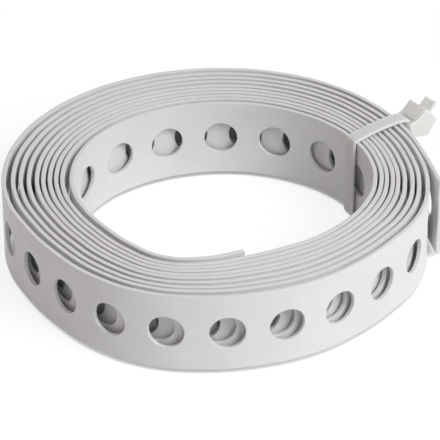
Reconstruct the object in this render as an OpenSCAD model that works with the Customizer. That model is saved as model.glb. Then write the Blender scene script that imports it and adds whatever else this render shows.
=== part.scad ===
// Perforated steel strap with a white coating, wound in a loose coil and held by a cable tie.
// Millimetres. The coil lies flat with +Z up, and the strap's inner end is at the front, towards -Y.

/* [Strap] */
// Width of the strap, which is the height of the coil
strap_width = 25; // [18:0.5:40]
// Thickness of the strap with its coating
strap_thickness = 1.3; // [0.8:0.1:2]
// Diameter of the round holes
hole_diameter = 10.4; // [4:0.1:12]
// Distance between hole centres along the strap
hole_pitch = 17.33; // [14:0.01:30]
// Distance from the strap's inner end to its first hole
first_hole = 7.2; // [7:0.1:16]

/* [Winding] */
// Radius of the coil's inside at the strap's inner end
inner_radius = 43; // [30:0.1:90]
// Whole turns before the last one, which ends in the free tail
whole_turns = 9; // [3:1:14]
// Clear gap between neighbouring turns
turn_gap = 0.9; // [0.4:0.1:2]
// Height of the two ribs that join each turn to the next, above and below the holes
rib_height = 1.2; // [0.6:0.1:2]
// Direction of the strap's inner end, anticlockwise from +X
inner_end_angle = -80; // [-110:1:-60]
// Length of the free tail past the last half turn, as an angle
tail_angle = 103; // [70:1:150]

/* [Cable tie] */
// Direction of the tie from the coil's middle, anticlockwise from +X
tie_angle = 29; // [25:1:60]
// Width of the tie's band
tie_width = 4.8; // [2.5:0.1:9]
// Thickness of the tie's band
tie_thickness = 1.2; // [0.8:0.1:2]
// Clearance between the tie and the coil
tie_clearance = 0.15; // [0.1:0.05:0.5]
// Width of the tie's head, along the coil's edge
head_width = 7.8; // [6:0.1:14]
// Length of the tie's head, along its own band
head_length = 6.5; // [5:0.1:12]
// Depth of the tie's head, along the band that passes through it
head_depth = 5.2; // [4:0.1:9]
// Distance from the coil's outer turn to the foot of the head, where the band goes in
head_reach = 6; // [5:0.1:8]
// Distance of the head's foot below the coil's upper edge
head_drop = 3.3; // [2.5:0.1:4]
// Slope at which the band passes through the head
head_slope = 41; // [35:1:50]
// Length of the band's cut end beyond the head
stub_length = 3.6; // [1:0.1:12]

/* [Hidden] */
$fn = 96;
eps = 0.01;
turn_pitch = strap_thickness + turn_gap;
strap_lift = tie_thickness + tie_clearance;
winding_spin = inner_end_angle + 90;
// The two half turns have their centres half a pitch apart, which winds a spiral out of plain arcs.
left_centre = [-turn_pitch / 4, 0, strap_lift];
right_centre = [-turn_pitch / 4, -turn_pitch / 2, strap_lift];
last_left = 2 * whole_turns;
tail = last_left + 1;
strap_length = half_start(tail) + mid_radius(tail) * tail_angle * PI / 180;
hole_count = floor((strap_length - first_hole - hole_diameter / 2) / hole_pitch) + 1;
hole_bow = pow(hole_diameter, 2) / (8 * inner_radius);
hole_room = 0.1;
gap_depth = (strap_width - hole_diameter) / 2 - hole_room - rib_height;
coil_inside = inner_face(1);
coil_outside = inner_face(tail) + strap_thickness;
head_round = 0.8;
slot_room = 0.5;
slot_depth = 1.2;
// Where the band leaves the coil's outer turn on its way to the head
lead_length = (head_reach - tie_clearance - tie_thickness / 2) / cos(head_slope);
lead_height = strap_width - head_drop - lead_length * sin(head_slope);
// The origin is midway between the coil's left side and the far corner of the tie's head.
coil_left = left_centre[0] * cos(winding_spin) - inner_face(last_left) - strap_thickness;
tie_middle = right_centre[0] * cos(winding_spin) - right_centre[1] * sin(winding_spin);
head_far = coil_outside + head_reach + head_round + (head_depth - head_round) * cos(head_slope)
    + (head_length / 2 - head_round) * sin(head_slope);
head_right = tie_middle + head_far * cos(tie_angle) + head_width / 2 * sin(tie_angle);
footprint_middle = (coil_left + max(head_right, tie_middle + coil_outside)) / 2;

// Half turns are counted from the inner end: even ones on the left, odd ones on the right.
function inner_face(half) = inner_radius + half * turn_pitch / 2;
function mid_radius(half) = inner_face(half) + strap_thickness / 2;
function half_start(half) = PI * (half * mid_radius(0) + turn_pitch * half * (half - 1) / 4);
function half_at(run, half = 0) = run < half_start(half + 1) ? half : half_at(run, half + 1);
function swept(run, half) = (run - half_start(half)) / mid_radius(half) * 180 / PI;

// One side of the winding: neighbouring turns are joined by the ribs alone.
module half_turns(first, turns) {
    rotate_extrude(angle = 180) {
        for (turn = [0 : turns - 1])
            translate([inner_face(first + 2 * turn), 0])
                square([strap_thickness, strap_width]);
        for (turn = [0 : turns - 2], rib = [gap_depth, strap_width - gap_depth - rib_height])
            translate([inner_face(first + 2 * turn) + strap_thickness - eps, rib])
                square([turn_gap + 2 * eps, rib_height]);
    }
}

module free_tail() {
    rotate([0, 0, 90])
        rotate_extrude(angle = -tail_angle)
            translate([inner_face(tail), 0])
                square([strap_thickness, strap_width]);
}

// Moves a hole's cutter to its place on a half turn, with +X pointing away from the coil's middle.
module on_strap(run, half) {
    left = half % 2 == 0;
    start = left ? 270 : 90;
    translate(left ? left_centre : right_centre)
        rotate([0, 0, start - swept(run, half)])
            translate([inner_face(half), 0, strap_width / 2])
                children();
}

// Reaches a little past the strap on both sides, and by the strap's bow across the hole on the inside.
module hole_cutter() {
    translate([-hole_bow - hole_room / 2, 0, 0])
        rotate([0, 90, 0])
            cylinder(d = hole_diameter, h = strap_thickness + hole_bow + hole_room);
}

// Holes keep one pitch along the strap, through all its turns.
module strap_holes() {
    for (index = [0 : hole_count - 1]) {
        run = first_hole + index * hole_pitch;
        on_strap(run, half_at(run))
            hole_cutter();
    }
}

module strap_coil() {
    color("#f2f1ee")
        translate([-footprint_middle, 0, 0])
            rotate([0, 0, winding_spin])
                difference() {
                    union() {
                        translate(left_centre)
                            rotate([0, 0, 90])
                                half_turns(0, whole_turns + 1);
                        translate(right_centre)
                            rotate([0, 0, -90])
                                half_turns(1, whole_turns);
                        translate(right_centre)
                            free_tail();
                    }
                    strap_holes();
                }
}

// Outline of the coil's section where the tie runs, grown by a given distance with round corners.
module around_section(grow) {
    for (side = [coil_inside, coil_outside], end = [0, strap_width])
        translate([side, end])
            circle(r = grow);
    translate([coil_inside, -grow])
        square([coil_outside - coil_inside, strap_width + 2 * grow]);
    translate([coil_inside - grow, 0])
        square([coil_outside - coil_inside + 2 * grow, strap_width]);
}

// The band round the coil, which stands off the outer turn's upper edge on its way to and from the head.
module tie_loop() {
    difference() {
        around_section(tie_clearance + tie_thickness);
        around_section(tie_clearance);
        translate([coil_outside, lead_height + tie_thickness / 2])
            square([tie_clearance + tie_thickness + eps, strap_width]);
    }
    translate([coil_outside - eps, strap_width + tie_clearance])
        square([head_reach + head_round, tie_thickness]);
    at_head()
        translate([-lead_length, -tie_thickness / 2])
            square([lead_length + head_depth + stub_length, tie_thickness]);
}

// Places a profile at the foot of the head, with +X along the band that passes through it.
module at_head() {
    translate([coil_outside + head_reach, strap_width - head_drop])
        rotate(head_slope)
            children();
}

module rounded_box(size, radius) {
    for (x = [radius, size[0] - radius], y = [radius, size[1] - radius])
        translate([x, y])
            circle(r = radius);
    translate([radius, 0])
        square([size[0] - 2 * radius, size[1]]);
    translate([0, radius])
        square([size[0], size[1] - 2 * radius]);
}

// Extrudes a profile of the tie to a width, centred on the tie's plane.
module across(width) {
    rotate([90, 0, 0])
        translate([0, 0, -width / 2])
            linear_extrude(width)
                children();
}

module cable_tie() {
    color("#e9e9e4")
        translate([-footprint_middle, 0, 0])
            rotate([0, 0, winding_spin])
                translate(right_centre)
                    rotate([0, 0, tie_angle - winding_spin]) {
                        difference() {
                            across(head_width)
                                at_head()
                                    translate([0, -head_length / 2])
                                        rounded_box([head_depth, head_length], head_round);
                            across(tie_width + 2 * slot_room)
                                at_head()
                                    translate([head_depth - slot_depth, -tie_thickness / 2 - slot_room])
                                        square([slot_depth + eps, tie_thickness + 2 * slot_room]);
                        }
                        across(tie_width)
                            tie_loop();
                    }
}

strap_coil();
cable_tie();
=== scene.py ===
import math

import bpy
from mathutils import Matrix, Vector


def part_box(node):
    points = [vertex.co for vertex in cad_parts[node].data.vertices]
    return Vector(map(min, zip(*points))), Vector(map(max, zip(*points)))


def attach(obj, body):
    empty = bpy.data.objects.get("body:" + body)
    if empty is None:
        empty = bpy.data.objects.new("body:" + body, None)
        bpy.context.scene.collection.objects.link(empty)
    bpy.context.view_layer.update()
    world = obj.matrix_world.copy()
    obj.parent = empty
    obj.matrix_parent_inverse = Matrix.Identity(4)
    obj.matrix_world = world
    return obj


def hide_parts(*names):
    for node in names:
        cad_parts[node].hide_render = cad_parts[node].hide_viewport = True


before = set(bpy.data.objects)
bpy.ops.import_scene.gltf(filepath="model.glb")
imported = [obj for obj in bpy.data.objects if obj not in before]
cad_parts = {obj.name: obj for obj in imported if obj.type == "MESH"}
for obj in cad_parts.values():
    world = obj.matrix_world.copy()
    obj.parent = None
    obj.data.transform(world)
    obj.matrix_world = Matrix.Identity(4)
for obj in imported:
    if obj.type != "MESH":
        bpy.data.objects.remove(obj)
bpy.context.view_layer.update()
bpy.ops.object.select_all(action="DESELECT")

# The winding: the line that the middle of the strap follows, from its inner end to its free tail.
# It is a spiral drawn in short steps and then smoothed. The coil was wound by hand, so its turns are
# unevenly spaced, it bulges in some directions and is pressed in at others, and its tail springs off.
coil_low, coil_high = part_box("strap_coil")
coil_middle = (coil_low.x + coil_high.x) / 2
strap_bottom = coil_low.z
strap_middle = (coil_low.z + coil_high.z) / 2
first_radius = 0.0424
turn_spacing = 0.00229
turn_shifts = [0, 0.00085, 0.0004, -0.0001, -0.0003, -0.0009, -0.0008, -0.0006, -0.0008, -0.0002, 0]
start_angle = math.radians(-79)
step_angle = math.radians(15)
winding_steps = 235
bulges = [
    {"direction": -108, "spread": 18, "inside": 0.0034, "outside": 0.0012},
    {"direction": -68, "spread": 20, "inside": -0.0022, "outside": -0.0003},
    {"direction": -40, "spread": 18, "inside": -0.0005, "outside": -0.0018},
    {"direction": -15, "spread": 20, "inside": 0, "outside": 0.0011},
    {"direction": 5, "spread": 30, "inside": 0.0025, "outside": -0.0007},
    {"direction": 36, "spread": 18, "inside": 0.0007, "outside": -0.0006},
    {"direction": 105, "spread": 40, "inside": -0.0020, "outside": -0.0010},
    {"direction": -148, "spread": 18, "inside": -0.0004, "outside": -0.0019},
]
tail_shifts = [-0.0003, -0.0005, 0.0017]


def winding_point(step):
    angle = start_angle - step * step_angle
    turns = step * step_angle / math.tau
    whole = int(turns)
    outwards = step / winding_steps
    radius = first_radius + turn_spacing * turns
    radius += turn_shifts[whole] + (turn_shifts[whole + 1] - turn_shifts[whole]) * (turns - whole)
    for bulge in bulges:
        away = math.remainder(math.degrees(angle) - bulge["direction"], 360)
        height = bulge["inside"] + (bulge["outside"] - bulge["inside"]) * outwards
        radius += height * math.exp(-(away / bulge["spread"]) ** 2)
    tail_step = step - winding_steps + len(tail_shifts) - 1
    if tail_step >= 0:
        radius += tail_shifts[tail_step]
    return coil_middle + radius * math.cos(angle), radius * math.sin(angle)


# A line starts as one point, which is a small plane merged at its centre.
def start_line(name, point):
    bpy.ops.object.select_all(action="DESELECT")
    bpy.ops.mesh.primitive_plane_add(size=0.001)
    bpy.context.object.name = name
    bpy.ops.object.mode_set(mode="EDIT")
    bpy.ops.mesh.merge(type="CENTER")
    bpy.ops.transform.translate(value=(point[0], point[1], 0))


def draw_line(along_x, along_y, steps=1):
    stretch = {"value": (along_x / steps, along_y / steps, 0)}
    for step in range(steps):
        bpy.ops.mesh.extrude_region_move(TRANSFORM_OT_translate=stretch)


def finish_line():
    bpy.ops.object.mode_set(mode="OBJECT")
    bpy.ops.object.convert(target="CURVE")
    line = bpy.context.object
    line.data.dimensions = "3D"
    line.data.twist_mode = "Z_UP"
    return line


place = winding_point(0)
start_line("winding_line", place)
for step in range(1, winding_steps + 1):
    next_place = winding_point(step)
    draw_line(next_place[0] - place[0], next_place[1] - place[1])
    place = next_place
winding = finish_line()
bpy.ops.object.mode_set(mode="EDIT")
bpy.ops.curve.select_all(action="SELECT")
bpy.ops.curve.spline_type_set(type="BEZIER")
bpy.ops.curve.handle_type_set(type="AUTOMATIC")
bpy.ops.object.mode_set(mode="OBJECT")
winding.data.resolution_u = 6
strap_length = winding.data.splines[0].calc_length()

# The strap: a mild steel band, punched with one row of round holes and coated white all over.
# One hole is modelled in its length of band, repeated along the strap, given thickness and soft edges,
# and wound up along the line. The pitch is exact, because an error would add up over the turns.
strap_width = coil_high.z - coil_low.z
strap_thickness = 0.0013
strap_softness = 0.0002
worn_edge = 0.0005
hole_radius = 0.0052
hole_sides = 32
hole_pitch = 0.0173365
first_hole = 0.00715
hole_count = math.floor((strap_length - first_hole - hole_radius) / hole_pitch) + 1
weld_within = 0.00005
near = 0.0001


def finish_with(piece, name, kind, **settings):
    modifier = piece.modifiers.new(name, kind)
    for setting, value in settings.items():
        setattr(modifier, setting, value)
    bpy.ops.object.modifier_apply(modifier=modifier.name)


def repeat_along(piece, name, count, pitch):
    finish_with(piece, name, "ARRAY", count=count, use_relative_offset=False,
                use_constant_offset=True, constant_offset_displace=(pitch, 0, 0),
                use_merge_vertices=True, merge_threshold=weld_within)


def soften_edges(piece, width, segments, sharper_than):
    finish_with(piece, "soft_edges", "BEVEL", width=width, segments=segments,
                limit_method="ANGLE", angle_limit=math.radians(sharper_than))


def move_points(piece, is_chosen, move):
    for vertex in piece.data.vertices:
        vertex.select = is_chosen(vertex.co)
    bpy.ops.object.mode_set(mode="EDIT")
    bpy.ops.transform.translate(value=move)
    bpy.ops.mesh.select_all(action="DESELECT")
    bpy.ops.object.mode_set(mode="OBJECT")


bpy.ops.object.select_all(action="DESELECT")
bpy.ops.mesh.primitive_plane_add(size=1)
strap = bpy.context.object
strap.name = "wound_strap"
bpy.ops.object.mode_set(mode="EDIT")
bpy.ops.transform.resize(value=(hole_pitch, strap_width, 1))
bpy.ops.mesh.delete(type="ONLY_FACE")
bpy.ops.mesh.select_all(action="SELECT")
bpy.ops.mesh.subdivide(number_cuts=hole_sides // 4 - 1)
bpy.ops.mesh.primitive_circle_add(vertices=hole_sides, radius=hole_radius)
bpy.ops.mesh.select_all(action="SELECT")
bpy.ops.mesh.bridge_edge_loops()
bpy.ops.mesh.select_all(action="SELECT")
bpy.ops.mesh.normals_make_consistent(inside=False)
bpy.ops.transform.translate(value=(first_hole, 0, 0))
bpy.ops.mesh.select_all(action="DESELECT")
bpy.ops.object.mode_set(mode="OBJECT")
repeat_along(strap, "row_of_holes", hole_count, hole_pitch)

# The row of holes ends half a pitch past its first and last holes, and the strap where it was cut off.
row_start = first_hole - hole_pitch / 2
row_end = first_hole + hole_pitch * (hole_count - 0.5)
for end_of_row, cut_end in ((row_start, 0.0), (row_end, strap_length)):
    move_points(strap, lambda point: abs(point.x - end_of_row) < near, (cut_end - end_of_row, 0, 0))
strap.rotation_euler.x = math.pi / 2
bpy.ops.object.transform_apply(location=False, rotation=True, scale=False)
finish_with(strap, "wall", "SOLIDIFY", thickness=strap_thickness, offset=0)
soften_edges(strap, strap_softness, segments=2, sharper_than=50)

# The coating keeps its pattern from the flat strap, so that it follows the turns.
flat_place = strap.data.attributes.new("flat_place", "FLOAT_VECTOR", "POINT")
places = [0.0] * (3 * len(strap.data.vertices))
strap.data.vertices.foreach_get("co", places)
flat_place.data.foreach_set("vector", places)

finish_with(strap, "wind_up", "CURVE", object=winding, deform_axis="POS_X")
bpy.data.objects.remove(winding)
strap.location.z = strap_middle
bpy.ops.object.transform_apply(location=True, rotation=False, scale=False)
bpy.ops.object.shade_smooth_by_angle(angle=math.radians(60))
finish_with(strap, "even_normals", "WEIGHTED_NORMAL", keep_sharp=True)


def speckle(tree, where, scale, detail):
    texture = tree.nodes.new("ShaderNodeTexNoise")
    texture.inputs["Scale"].default_value = scale
    texture.inputs["Detail"].default_value = detail
    tree.links.new(where, texture.inputs["Vector"])
    return texture.outputs["Fac"]


def graded(tree, value, low=0, high=1, to_low=0, to_high=1):
    grade = tree.nodes.new("ShaderNodeMapRange")
    grade.inputs["From Min"].default_value = low
    grade.inputs["From Max"].default_value = high
    grade.inputs["To Min"].default_value = to_low
    grade.inputs["To Max"].default_value = to_high
    tree.links.new(value, grade.inputs["Value"])
    return grade.outputs["Result"]


def worked_out(tree, operation, *values):
    result = tree.nodes.new("ShaderNodeMath")
    result.operation = operation
    for socket, value in zip(result.inputs, values):
        tree.links.new(value, socket)
    return result.outputs["Value"]


def two_tone(tree, value, low, low_colour, high, high_colour):
    tones = tree.nodes.new("ShaderNodeValToRGB")
    tones.color_ramp.elements[0].position = low
    tones.color_ramp.elements[0].color = low_colour
    tones.color_ramp.elements[1].position = high
    tones.color_ramp.elements[1].color = high_colour
    tree.links.new(value, tones.inputs["Fac"])
    return tones.outputs["Color"]


def stained(tree, share, ground, stain):
    mixed = tree.nodes.new("ShaderNodeMixRGB")
    mixed.inputs["Color2"].default_value = stain
    tree.links.new(share, mixed.inputs["Fac"])
    tree.links.new(ground, mixed.inputs["Color1"])
    return mixed.outputs["Color"]


def grain(tree, height, strength, depth):
    relief = tree.nodes.new("ShaderNodeBump")
    relief.inputs["Strength"].default_value = strength
    relief.inputs["Distance"].default_value = depth
    tree.links.new(height, relief.inputs["Height"])
    return relief.outputs["Normal"]


coating = bpy.data.materials.new("white_coating")
coating.use_nodes = True
coat = coating.node_tree
coat_shader = coat.nodes["Principled BSDF"]
coat_place = coat.nodes.new("ShaderNodeAttribute")
coat_place.attribute_name = "flat_place"
on_strap = coat_place.outputs["Vector"]
tone = speckle(coat, on_strap, scale=45, detail=4)
tone_colour = two_tone(coat, tone, 0.32, (0.777, 0.775, 0.772, 1), 0.68, (0.813, 0.813, 0.813, 1))

along_strap = coat.nodes.new("ShaderNodeMapping")
along_strap.inputs["Scale"].default_value = (35, 300, 650)
coat.links.new(on_strap, along_strap.inputs["Vector"])
scuffs = speckle(coat, along_strap.outputs["Vector"], scale=1, detail=3)
scuff_share = graded(coat, scuffs, low=0.6, high=0.76, to_high=0.3)
scuffed_colour = stained(coat, scuff_share, tone_colour, (0.68, 0.675, 0.665, 1))

across_strap = coat.nodes.new("ShaderNodeSeparateXYZ")
coat.links.new(on_strap, across_strap.inputs["Vector"])
from_middle = worked_out(coat, "ABSOLUTE", across_strap.outputs["Z"])
edge_share = graded(coat, from_middle, low=strap_width / 2 - worn_edge, high=strap_width / 2, to_high=0.5)
rubbing = speckle(coat, on_strap, scale=160, detail=3)
edge_wear = worked_out(coat, "MULTIPLY", edge_share, rubbing)
worn_colour = stained(coat, edge_wear, scuffed_colour, (0.70, 0.69, 0.675, 1))
coat.links.new(worn_colour, coat_shader.inputs["Base Color"])

peel = speckle(coat, on_strap, scale=900, detail=2)
coat.links.new(grain(coat, peel, strength=0.15, depth=0.0002), coat_shader.inputs["Normal"])
coat_gloss = graded(coat, tone, to_low=0.36, to_high=0.5)
coat.links.new(worked_out(coat, "ADD", coat_gloss, scuff_share), coat_shader.inputs["Roughness"])
strap.data.materials.clear()
strap.data.materials.append(coating)
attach(strap, "root")
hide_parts("strap_coil")

# The cable tie: natural nylon, moulded in one piece with its head and pulled tight round the coil.
# Its band is one tooth repeated. It is laid from its cut end back through the head, down the outside of
# the coil, under it, up the inside and over the top, in a slight arch, to the head again.
tie_turn = math.radians(40)
tie_centre = (coil_middle + 0.0074, -0.0088, strap_bottom)
tie_width = 0.0048
tie_thickness = 0.0011
tie_clearance = 0.00005
tie_reach = tie_clearance + tie_thickness / 2
tie_skew = math.radians(11)
skew_run = 0.004
section_inside = 0.0439
section_outside = 0.0634
bend_radius = 0.003
arch_slope = math.radians(7)
neck_slope = math.radians(25)
neck_length = 0.0035
stub_length = 0.0038
tooth_spacing = 0.0011
tooth_depth = 0.00025
crest_share = 0.85
tooth_softness = 0.00008
rail_inside = 0.0017
rail_outside = 0.00185
back_groove = 0.00014
side_rounding = 0.00045
head_slope = math.radians(41)
head_foot = (0.0694, 0.0217)
head_size = (0.0053, 0.0066, 0.0079)
head_softness = 0.0004
head_drop = 0.0005
foot_depth = 0.0014
foot_corners = [
    {"depth": 0, "side": -1, "move": (-0.0047, 0.0052, 0)},
    {"depth": foot_depth, "side": -1, "move": (-0.0018, -0.0011, 0)},
    {"depth": 0, "side": 1, "move": (-0.0022, 0.0018, 0)},
]
slot_drop = 0.0007
slot_margin = 0.0004
slot_depth = 0.0012
slot_share = (1, 0.45, 0.97)
square_on = 0.99

slope_x = math.cos(head_slope)
slope_y = math.sin(head_slope)
stub_end = (head_foot[0] + (head_size[0] + stub_length) * slope_x + slot_drop * slope_y,
            head_foot[1] + (head_size[0] + stub_length) * slope_y - slot_drop * slope_x)
outer_run = section_outside + tie_reach
lead_turn = math.pi / 2 - head_slope
lead_tangent = bend_radius * math.tan(lead_turn / 2)
lead_length = (stub_end[0] - outer_run) / slope_x - lead_tangent
lead_bottom = stub_end[1] - (stub_end[0] - outer_run) * math.tan(head_slope) - lead_tangent
arch_start = (section_inside - tie_reach * math.sin(arch_slope),
              strap_width + tie_reach * math.cos(arch_slope))
arch_radius = (section_outside - arch_start[0]) / (2 * math.sin(arch_slope))


def bend_line(angle, centre, axis_z):
    bpy.ops.mesh.spin(steps=12, angle=angle, center=(centre[0], centre[1], 0), axis=(0, 0, axis_z))


start_line("tie_line", stub_end)
draw_line(-lead_length * slope_x, -lead_length * slope_y, 12)
bend_line(lead_turn, (outer_run + bend_radius, lead_bottom), -1)
draw_line(0, -lead_bottom, 16)
bend_line(math.pi / 2, (section_outside, 0), 1)
draw_line(section_inside - section_outside, 0, 20)
bend_line(math.pi / 2, (section_inside, 0), 1)
draw_line(0, strap_width, 25)
bend_line(math.pi / 2 - arch_slope, (section_inside, strap_width), 1)
bend_line(2 * arch_slope, (arch_start[0] + arch_radius * math.sin(arch_slope),
                           arch_start[1] - arch_radius * math.cos(arch_slope)), 1)
bend_line(neck_slope - arch_slope, (section_outside - bend_radius * math.sin(arch_slope),
                                    arch_start[1] - bend_radius * math.cos(arch_slope)), 1)
draw_line(neck_length * math.cos(neck_slope), -neck_length * math.sin(neck_slope), 4)
tie_line = finish_line()
tie_length = tie_line.data.splines[0].calc_length()
tooth_count = round(tie_length / tooth_spacing)
tooth_pitch = tie_length / tooth_count
crest_place = crest_share * tooth_pitch
rail_middle = (rail_inside + rail_outside) / 2


def is_back_groove(point):
    return point.y > 0 and abs(point.z) < rail_middle


def is_tooth_valley(point):
    return point.y < 0 and abs(point.z) < rail_middle and abs(point.x - crest_place) > near


bpy.ops.object.select_all(action="DESELECT")
bpy.ops.mesh.primitive_cube_add(size=1)
tie = bpy.context.object
tie.name = "nylon_tie"
bpy.ops.object.mode_set(mode="EDIT")
bpy.ops.transform.resize(value=(tooth_pitch, tie_thickness, tie_width))
bpy.ops.transform.translate(value=(tooth_pitch / 2, 0, 0))
for rail in (-rail_outside, -rail_inside, rail_inside, rail_outside):
    bpy.ops.mesh.select_all(action="SELECT")
    bpy.ops.mesh.bisect(plane_co=(0, 0, rail), plane_no=(0, 0, 1))
bpy.ops.mesh.select_all(action="SELECT")
bpy.ops.mesh.bisect(plane_co=(crest_place, 0, 0), plane_no=(1, 0, 0))
bpy.ops.mesh.select_all(action="DESELECT")
bpy.ops.object.mode_set(mode="OBJECT")
move_points(tie, is_back_groove, (0, -back_groove, 0))
move_points(tie, is_tooth_valley, (0, tooth_depth, 0))

# The tooth's two ends are opened, and the band's long edges rounded, before it is repeated.
for face in tie.data.polygons:
    at_end = face.center.x < near or face.center.x > tooth_pitch - near
    face.select = at_end and abs(face.normal.x) > square_on
bpy.ops.object.mode_set(mode="EDIT")
bpy.ops.mesh.select_mode(type="FACE")
bpy.ops.mesh.delete(type="FACE")
bpy.ops.mesh.select_mode(type="EDGE")
bpy.ops.mesh.select_all(action="DESELECT")
bpy.ops.object.mode_set(mode="OBJECT")
for edge in tie.data.edges:
    ends = [tie.data.vertices[end].co for end in edge.vertices]
    runs_along = abs(ends[1].x - ends[0].x) > near
    edge.select = runs_along and all(abs(end.z) > tie_width / 2 - near for end in ends)
bpy.ops.object.mode_set(mode="EDIT")
bpy.ops.mesh.bevel(offset=side_rounding, segments=4, affect="EDGES")
bpy.ops.mesh.select_all(action="DESELECT")
bpy.ops.object.mode_set(mode="OBJECT")
repeat_along(tie, "row_of_teeth", tooth_count, tooth_pitch)
bpy.ops.object.mode_set(mode="EDIT")
bpy.ops.mesh.select_mode(type="EDGE")
bpy.ops.mesh.select_all(action="DESELECT")
bpy.ops.mesh.select_non_manifold()
bpy.ops.mesh.fill_holes(sides=0)
bpy.ops.mesh.select_all(action="DESELECT")
bpy.ops.object.mode_set(mode="OBJECT")
soften_edges(tie, tooth_softness, segments=1, sharper_than=60)
finish_with(tie, "round_the_coil", "CURVE", object=tie_line, deform_axis="POS_X")
bpy.data.objects.remove(tie_line)

# The band lies a little skewed on the coil and comes straight again on its way into the head.
for vertex in tie.data.vertices:
    skewed = min(1, max(0, (head_foot[0] - vertex.co.x) / skew_run))
    vertex.co.x -= skewed * vertex.co.z * math.tan(tie_skew)

# The head: a block whose foot reaches down to the coil, with a slot where the cut end comes out.
bpy.ops.object.select_all(action="DESELECT")
bpy.ops.mesh.primitive_cube_add(size=1)
head = bpy.context.object
head.name = "tie_head"
bpy.ops.object.mode_set(mode="EDIT")
bpy.ops.transform.resize(value=head_size)
bpy.ops.transform.translate(value=(head_size[0] / 2, 0, 0))
bpy.ops.mesh.select_all(action="SELECT")
bpy.ops.mesh.bisect(plane_co=(foot_depth, 0, 0), plane_no=(1, 0, 0))
bpy.ops.mesh.select_all(action="DESELECT")
bpy.ops.object.mode_set(mode="OBJECT")
move_points(head, lambda point: point.y < 0, (0, -head_drop, 0))
for corner in foot_corners:
    move_points(head, lambda point: abs(point.x - corner["depth"]) < near and point.y * corner["side"] > 0,
                corner["move"])
soften_edges(head, head_softness, segments=3, sharper_than=30)
for face in head.data.polygons:
    face.select = face.normal.x > square_on and face.center.x > head_size[0] - near
bpy.ops.object.mode_set(mode="EDIT")
bpy.ops.mesh.inset(thickness=slot_margin)
bpy.ops.transform.resize(value=slot_share, center_override=(head_size[0], 0, 0))
bpy.ops.transform.translate(value=(0, -slot_drop, 0))
bpy.ops.mesh.extrude_region_move(TRANSFORM_OT_translate={"value": (-slot_depth, 0, 0)})
bpy.ops.mesh.select_all(action="DESELECT")
bpy.ops.object.mode_set(mode="OBJECT")
head.rotation_euler.z = head_slope
head.location = (head_foot[0], head_foot[1], 0)
bpy.ops.object.transform_apply(location=True, rotation=True, scale=False)
tie.select_set(True)
bpy.context.view_layer.objects.active = tie
bpy.ops.object.join()
tie.rotation_euler = (math.pi / 2, 0, tie_turn)
tie.location = tie_centre
bpy.ops.object.transform_apply(location=True, rotation=True, scale=False)
bpy.ops.object.shade_smooth_by_angle(angle=math.radians(40))
finish_with(tie, "even_normals", "WEIGHTED_NORMAL", keep_sharp=True)

nylon_finish = bpy.data.materials.new("natural_nylon")
nylon_finish.use_nodes = True
nylon = nylon_finish.node_tree
nylon_shader = nylon.nodes["Principled BSDF"]
on_tie = nylon.nodes.new("ShaderNodeTexCoord").outputs["Object"]
cloud = speckle(nylon, on_tie, scale=260, detail=3)
cloud_colour = two_tone(nylon, cloud, 0.3, (0.755, 0.755, 0.74, 1), 0.7, (0.80, 0.80, 0.785, 1))
nylon.links.new(cloud_colour, nylon_shader.inputs["Base Color"])
nylon_gloss = graded(nylon, cloud, to_low=0.36, to_high=0.52)
nylon.links.new(nylon_gloss, nylon_shader.inputs["Roughness"])
mould = speckle(nylon, on_tie, scale=1800, detail=2)
nylon.links.new(grain(nylon, mould, strength=0.12, depth=0.0001), nylon_shader.inputs["Normal"])
nylon_shader.inputs["Subsurface Weight"].default_value = 0.8
nylon_shader.inputs["Subsurface Radius"].default_value = (1, 1, 0.95)
nylon_shader.inputs["Subsurface Scale"].default_value = 0.0025
tie.data.materials.clear()
tie.data.materials.append(nylon_finish)
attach(tie, "root")
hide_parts("cable_tie")

# The floor: plain white paper, which carries the coil and its soft shadow.
# It shows as white to the camera through its own glow, which painted shade dims deep in the gaps between
# turns, and it lights the coil from below.
bpy.ops.object.select_all(action="DESELECT")
bpy.ops.mesh.primitive_plane_add(size=6)
floor = bpy.context.object
floor.name = "paper_floor"
white_paper = bpy.data.materials.new("white_paper")
white_paper.use_nodes = True
paper = white_paper.node_tree
paper.nodes.remove(paper.nodes["Principled BSDF"])


def seen_directly(tree):
    ray = tree.nodes.new("ShaderNodeLightPath")
    clear = worked_out(tree, "MAXIMUM", ray.outputs["Is Glossy Ray"], ray.outputs["Is Transmission Ray"])
    return worked_out(tree, "MAXIMUM", ray.outputs["Is Camera Ray"], clear)


paper_lit = paper.nodes.new("ShaderNodeBsdfDiffuse")
paper_lit.inputs["Color"].default_value = (0.8, 0.8, 0.8, 1)
paper_shade = paper.nodes.new("ShaderNodeBsdfDiffuse")
paper_shade.inputs["Color"].default_value = (0.24, 0.24, 0.24, 1)
paper_glow = paper.nodes.new("ShaderNodeEmission")
paper_glow.inputs["Color"].default_value = (0.83, 0.83, 0.83, 1)
# Painted shade: the glow is dimmed where ambient occlusion finds the paper closed in, as in the narrow
# gaps between turns.
paper_gap = paper.nodes.new("ShaderNodeAmbientOcclusion")
paper_gap.inputs["Distance"].default_value = 0.008
painted_gap_shade = graded(paper, paper_gap.outputs["AO"], low=0.1, high=0.45, to_low=0.1)
paper.links.new(painted_gap_shade, paper_glow.inputs["Strength"])
paper_white = paper.nodes.new("ShaderNodeAddShader")
paper.links.new(paper_shade.outputs["BSDF"], paper_white.inputs[0])
paper.links.new(paper_glow.outputs["Emission"], paper_white.inputs[1])
paper_mix = paper.nodes.new("ShaderNodeMixShader")
paper.links.new(seen_directly(paper), paper_mix.inputs["Fac"])
paper.links.new(paper_lit.outputs["BSDF"], paper_mix.inputs[1])
paper.links.new(paper_white.outputs["Shader"], paper_mix.inputs[2])
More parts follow.
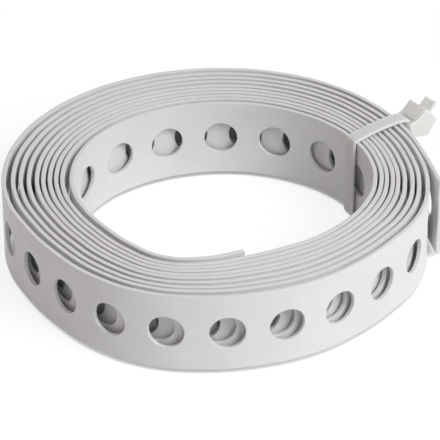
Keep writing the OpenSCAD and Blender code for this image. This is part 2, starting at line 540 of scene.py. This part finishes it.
paper.links.new(paper_mix.outputs["Shader"], paper.nodes["Material Output"].inputs["Surface"])
floor.data.materials.append(white_paper)

# The studio: one large soft lamp from the front right, and a white room that is darker and warmer on the
# left. The camera looks down on the coil from the front, through a long lens.
bpy.ops.object.light_add(type="AREA", location=(0.74, -0.6, 0.85))
lamp = bpy.context.object
lamp.name = "soft_lamp"
lamp.data.shape = "DISK"
lamp.data.size = 0.7
lamp.data.energy = 9.6
lamp.rotation_euler = (-lamp.location).to_track_quat("-Z", "Y").to_euler()

white_room = bpy.data.worlds.new("white_room")
white_room.use_nodes = True
room = white_room.node_tree
room_place = room.nodes.new("ShaderNodeTexCoord")
room_side = room.nodes.new("ShaderNodeSeparateXYZ")
room.links.new(room_place.outputs["Generated"], room_side.inputs["Vector"])
room_light = graded(room, room_side.outputs["X"], low=-1, to_low=0.3, to_high=0.54)
room_strength = room.nodes.new("ShaderNodeMapRange")
room_strength.inputs["To Max"].default_value = 1
room.links.new(seen_directly(room), room_strength.inputs["Value"])
room.links.new(room_light, room_strength.inputs["To Min"])
room.links.new(room_strength.outputs["Result"], room.nodes["Background"].inputs["Strength"])
room_tint = room.nodes.new("ShaderNodeMixRGB")
room_tint.inputs["Color1"].default_value = (1, 0.9, 0.87, 1)
room_tint.inputs["Color2"].default_value = (0.98, 1, 1, 1)
room.links.new(graded(room, room_side.outputs["X"], low=-1), room_tint.inputs["Fac"])
room.links.new(room_tint.outputs["Color"], room.nodes["Background"].inputs["Color"])
bpy.context.scene.world = white_room

view_height = math.radians(33.05)
view_distance = 0.85
aim = (coil_middle + 0.0009, -0.00206, 0.01176)
bpy.ops.object.camera_add(location=(aim[0], aim[1] - view_distance * math.cos(view_height),
                                    aim[2] + view_distance * math.sin(view_height)),
                          rotation=(math.pi / 2 - view_height, 0, 0))
camera = bpy.context.object
camera.data.lens = 232.1
camera.data.sensor_width = 36
camera.data.clip_start = 0.01
bpy.context.scene.camera = camera
bpy.context.scene.view_settings.view_transform = "Standard"
